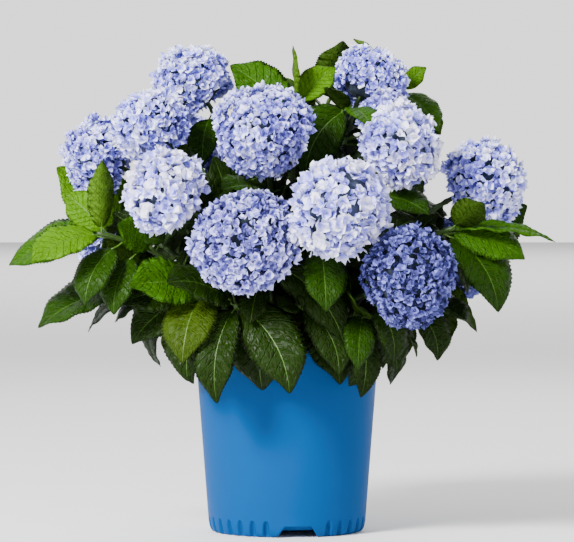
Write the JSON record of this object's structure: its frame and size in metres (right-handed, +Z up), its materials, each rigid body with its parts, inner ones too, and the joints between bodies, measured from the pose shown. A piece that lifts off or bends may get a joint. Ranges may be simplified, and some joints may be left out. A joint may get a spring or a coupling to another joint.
{
  "type": "potted hydrangea shrub",
  "caption": "Bushy mophead hydrangea with round blue flower heads and broad toothed leaves, growing in a tapered blue plastic nursery pot.",
  "frame": {"origin": "middle of the flat underside of the pot, on the surface that it stands on", "axes": "+Z up the plant, -Y towards the side with the low, full blooms, +X to the right as seen from that side"},
  "size_m": [0.638, 0.5577, 0.5934],
  "materials": {
    "pot_shell": "satin moulded polypropylene",
    "bark_mix": "rough composted bark",
    "bark": "finely ridged tan bark",
    "foliage": "satin leaf with sunken veins",
    "blossom": "thin matt petals"
  },
  "bodies": {
    "root": {"cane_back_far_left": "bark", "cane_back_far_right": "bark", "cane_back_left_upper": "bark", "cane_back_low_left": "bark", "cane_back_low_right": "bark", "cane_back_middle_upper": "bark", "cane_back_right_upper": "bark", "cane_far_left_lower": "bark", "cane_far_left_upper": "bark", "cane_far_right": "bark", "cane_front_left": "bark", "cane_front_low_left": "bark", "cane_front_low_right": "bark", "cane_front_middle": "bark", "cane_top_left": "bark", "cane_top_right": "bark", "cane_top_right_inner": "bark", "cane_upper_middle": "bark", "cane_upper_right": "bark", "pot": "pot_shell", "potting_mix": "bark_mix", "root_crown": "bark", "shoot_back_far_left": "blossom", "shoot_back_far_right": "blossom", "shoot_back_left_upper": "blossom", "shoot_back_low_left": "blossom", "shoot_back_low_right": "blossom", "shoot_back_middle_upper": "blossom", "shoot_back_right_upper": "blossom", "shoot_far_left_lower": "blossom", "shoot_far_left_upper": "blossom", "shoot_far_right": "blossom", "shoot_front_left": "blossom", "shoot_front_low_left": "blossom", "shoot_front_low_right": "blossom", "shoot_front_middle": "blossom", "shoot_left_back_fan": "foliage", "shoot_left_fan": "foliage", "shoot_left_low": "foliage", "shoot_low_left_front": "foliage", "shoot_low_right_front": "foliage", "shoot_right_back_fan": "foliage", "shoot_right_fan": "foliage", "shoot_rim_back": "foliage", "shoot_rim_back_left": "foliage", "shoot_rim_back_right": "foliage", "shoot_rim_front": "foliage", "shoot_rim_front_left": "foliage", "shoot_rim_front_right": "foliage", "shoot_top_back_fan": "foliage", "shoot_top_fan": "foliage", "shoot_top_left": "blossom", "shoot_top_right": "blossom", "shoot_top_right_back": "foliage", "shoot_top_right_fan": "foliage", "shoot_top_right_inner": "blossom", "shoot_upper_middle": "blossom", "shoot_upper_right": "blossom"}
  },
  "joints": []
}
